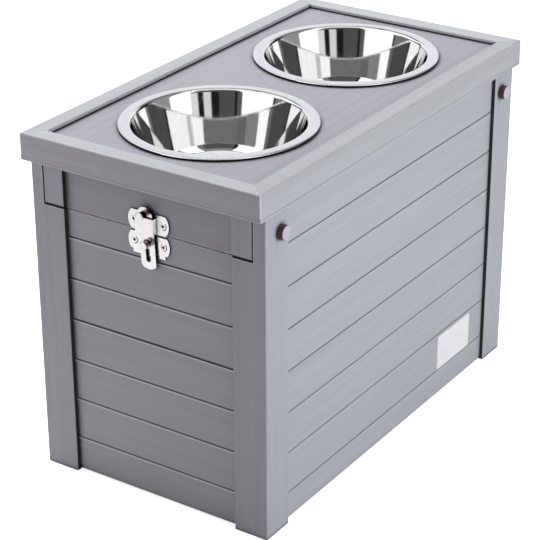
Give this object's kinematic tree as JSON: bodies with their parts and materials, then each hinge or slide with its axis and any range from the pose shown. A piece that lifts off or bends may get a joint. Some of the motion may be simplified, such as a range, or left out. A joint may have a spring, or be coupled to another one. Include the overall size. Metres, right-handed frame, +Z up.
{
  "type": "elevated dog feeder with storage",
  "caption": "Raised pet feeder: a slatted grey storage box on notched legs, with a latched, rear-hinged lid that holds round steel bowls.",
  "frame": {"origin": "on the floor under the middle of the box", "axes": "+Z up; +Y along the long side towards the hinged end, so the latch is on the -Y end; +X to the right, seen from the latch end"},
  "size_m": [0.3308, 0.58, 0.426],
  "materials": {
    "leg_composite": "grey wood-plastic composite, fine lengthwise grain, satin",
    "board_composite": "grey wood-plastic composite, fine lengthwise grain, satin",
    "trim_composite": "grey wood-plastic composite, fine lengthwise grain, satin",
    "panel_composite": "pale lilac-grey wood-plastic composite with fine lines, satin",
    "pin_plastic": "dark maroon plastic with a pale end",
    "bowl_steel": "polished stainless steel, satin rim",
    "latch_nickel": "bright nickel-plated steel"
  },
  "bodies": {
    "box": {"leg_front_right": "leg_composite", "leg_front_left": "leg_composite", "leg_rear_right": "leg_composite", "leg_rear_left": "leg_composite", "front_board_lower": "board_composite", "front_board_upper": "board_composite", "rear_board_lower": "board_composite", "rear_board_upper": "board_composite", "side_board_left_lower": "board_composite", "side_board_left_upper": "board_composite", "side_board_right_lower": "board_composite", "side_board_right_upper": "board_composite", "floor_board": "board_composite", "floor_cleat_left": "board_composite", "floor_cleat_right": "board_composite", "hinge_pin_left": "pin_plastic", "hinge_pin_right": "pin_plastic", "plug_pin_left": "pin_plastic", "plug_pin_right": "pin_plastic", "latch_plate": "latch_nickel", "latch_plate_screws": "latch_nickel", "latch_stud": "latch_nickel"},
    "lid": {"lid_panel": "panel_composite", "lid_apron": "board_composite", "lid_trim_front": "trim_composite", "lid_trim_rear": "trim_composite", "lid_trim_left": "trim_composite", "lid_trim_right": "trim_composite", "lid_post_left": "board_composite", "lid_post_right": "board_composite", "hinge_knuckle_left": "board_composite", "hinge_knuckle_right": "board_composite", "latch_keeper": "latch_nickel", "latch_keeper_screws": "latch_nickel", "latch_knob": "latch_nickel"},
    "bowl_front": {"bowl_front": "bowl_steel"},
    "bowl_rear": {"bowl_rear": "bowl_steel"},
    "latch_bar": {"latch_bar": "latch_nickel"}
  },
  "joints": [
    {"name": "lid_hinge", "type": "hinge", "parent": "box", "child": "lid", "pos_m": [0, 0.2485, 0.37], "axis": [-1, 0, 0], "range_deg": [0, 80]},
    {"name": "bowl_front_lift", "type": "slide", "parent": "lid", "child": "bowl_front", "axis": [0, 0, 1], "range_m": [0, 0.1]},
    {"name": "bowl_rear_lift", "type": "slide", "parent": "lid", "child": "bowl_rear", "axis": [0, 0, 1], "range_m": [0, 0.1]},
    {"name": "latch_slide", "type": "slide", "parent": "box", "child": "latch_bar", "axis": [-0.061, 0, 0.9981], "range_m": [-0.0025, 0.014]}
  ]
}
